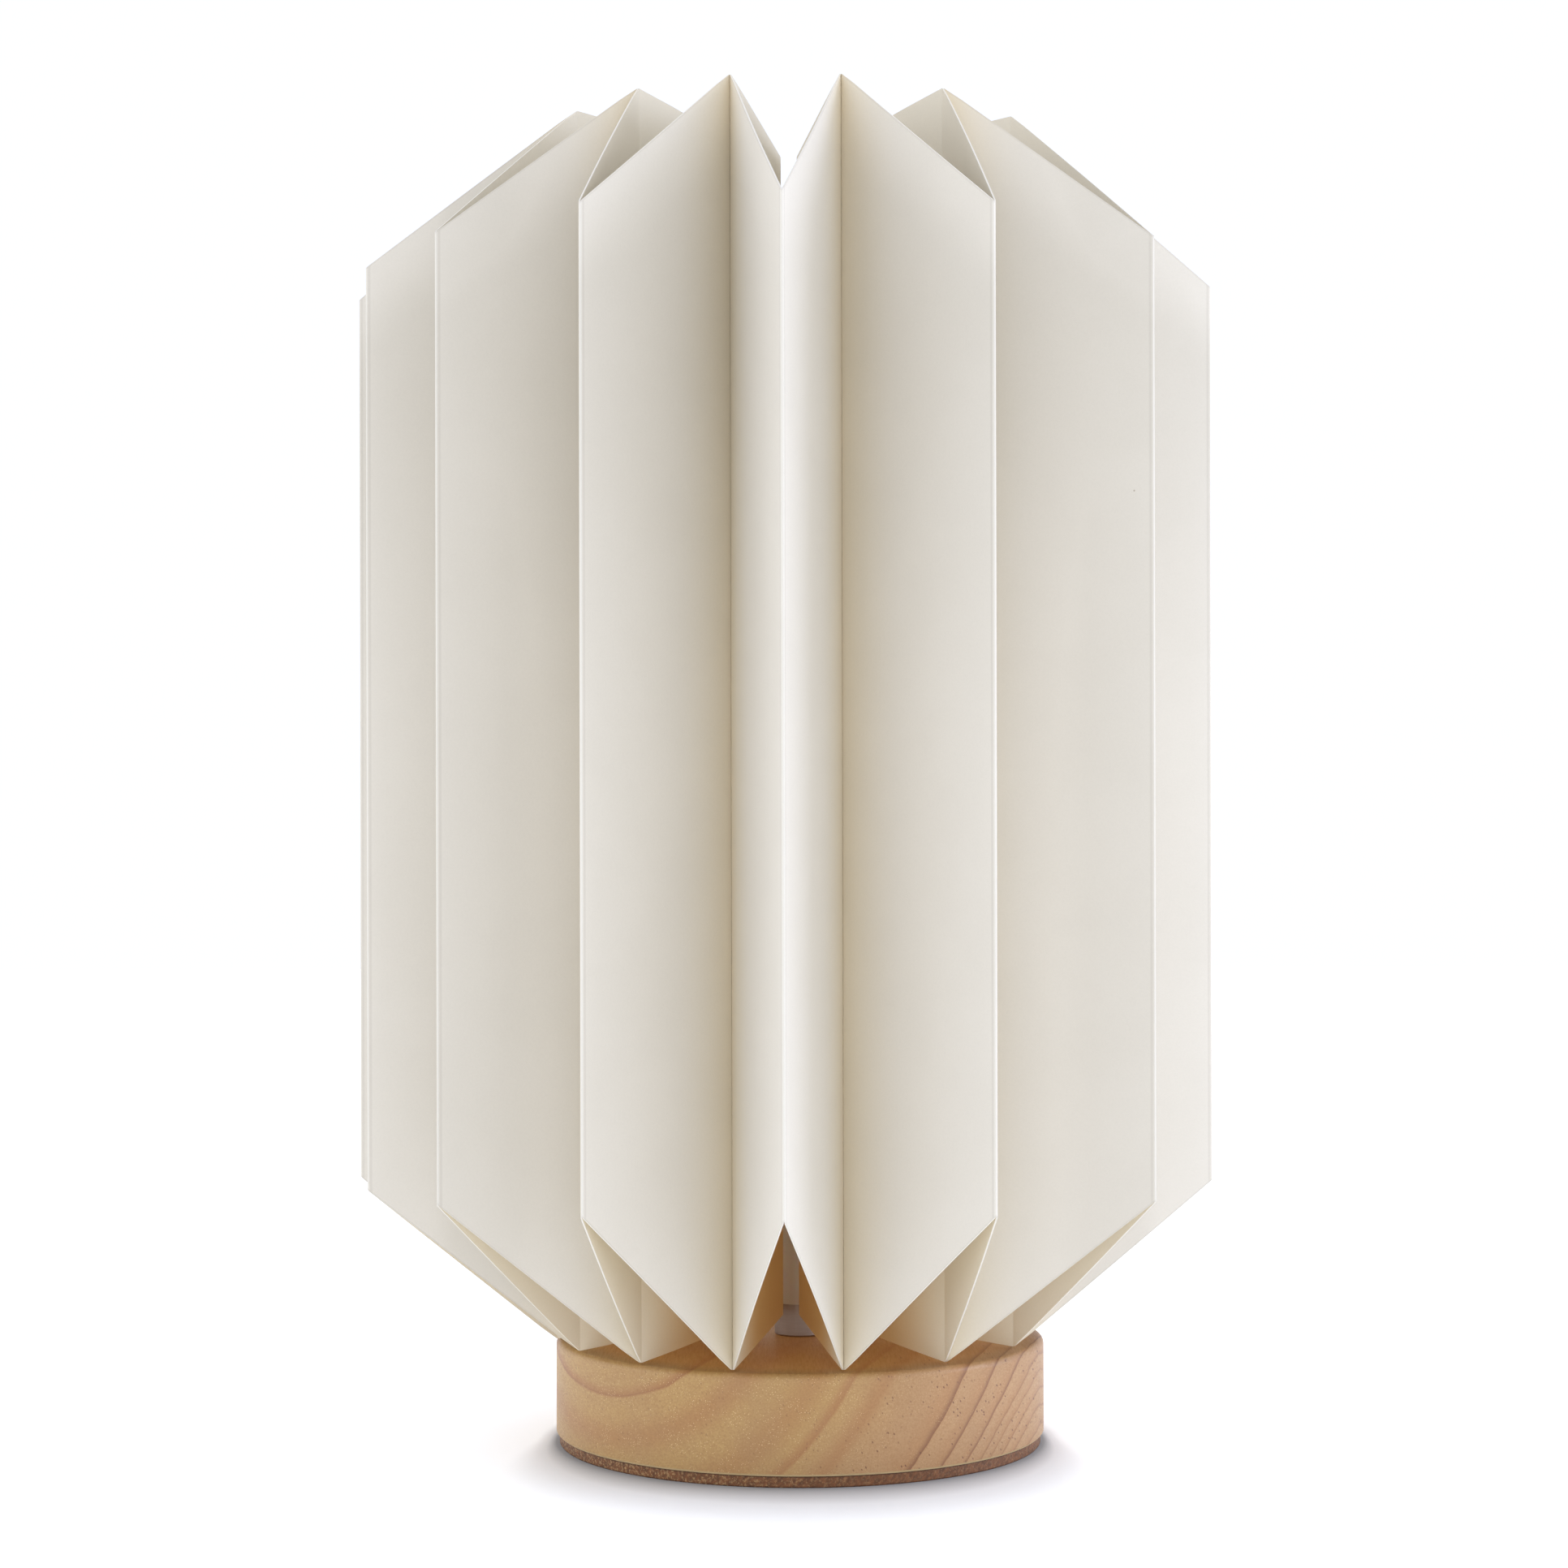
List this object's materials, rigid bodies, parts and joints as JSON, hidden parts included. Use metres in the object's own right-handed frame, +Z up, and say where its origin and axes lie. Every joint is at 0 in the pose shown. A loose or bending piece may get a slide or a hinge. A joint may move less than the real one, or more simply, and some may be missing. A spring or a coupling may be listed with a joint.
{
  "type": "pleated paper table lamp",
  "caption": "Table lamp with a tall pleated shade of folded paper leaves that lifts off a slim light column on a round wooden base.",
  "frame": {"origin": "centre of the base's underside", "axes": "+Z up along the light column, -Y to the front, +X to the right"},
  "size_m": [0.2075, 0.2054, 0.3195],
  "materials": {
    "paper": "warm white laid card, matt",
    "wood": "turned pale wood, fine satin oil",
    "plate": "pressed brown fibreboard with a faint golden glint",
    "steel": "zinc plated",
    "grommet": "moulded black rubber",
    "foot": "satin grey anodised",
    "aluminium": "mill finish",
    "strip": "white flexible circuit",
    "emitter": "yellow resin over white frame",
    "diffuser": "frosted opal tube",
    "cap": "opal moulding",
    "board": "green solder mask",
    "nylon": "natural nylon",
    "terminal": "green moulding",
    "coil": "dark ferrite",
    "can": "sleeved can",
    "chip": "black moulding",
    "lead_red": "red insulation",
    "lead_black": "black insulation"
  },
  "bodies": {
    "base": {"wood_base": "wood", "base_plate": "plate", "plate_screws": "steel", "cable_grommet": "grommet", "mounting_stud": "steel", "stud_washer": "steel", "stud_nut": "steel", "column_foot": "foot", "light_bar": "aluminium", "led_strip": "strip", "led_chips": "emitter", "diffuser_tube": "diffuser", "tube_cap": "cap", "driver_board": "board", "board_spacers": "nylon", "board_screws": "steel", "output_terminal": "terminal", "input_terminal": "terminal", "inductor": "coil", "capacitor": "can", "driver_chip": "chip", "lead_red": "lead_red", "lead_black": "lead_black"},
    "shade": {"leaf_01": "paper", "leaf_02": "paper", "leaf_03": "paper", "leaf_04": "paper", "leaf_05": "paper", "leaf_06": "paper", "leaf_07": "paper", "leaf_08": "paper", "leaf_09": "paper", "leaf_10": "paper", "leaf_11": "paper", "leaf_12": "paper", "leaf_13": "paper", "leaf_14": "paper"}
  },
  "joints": [
    {"name": "shade_lift", "type": "slide", "parent": "base", "child": "shade", "axis": [0, 0, 1], "range_m": [0, 0.235]}
  ]
}
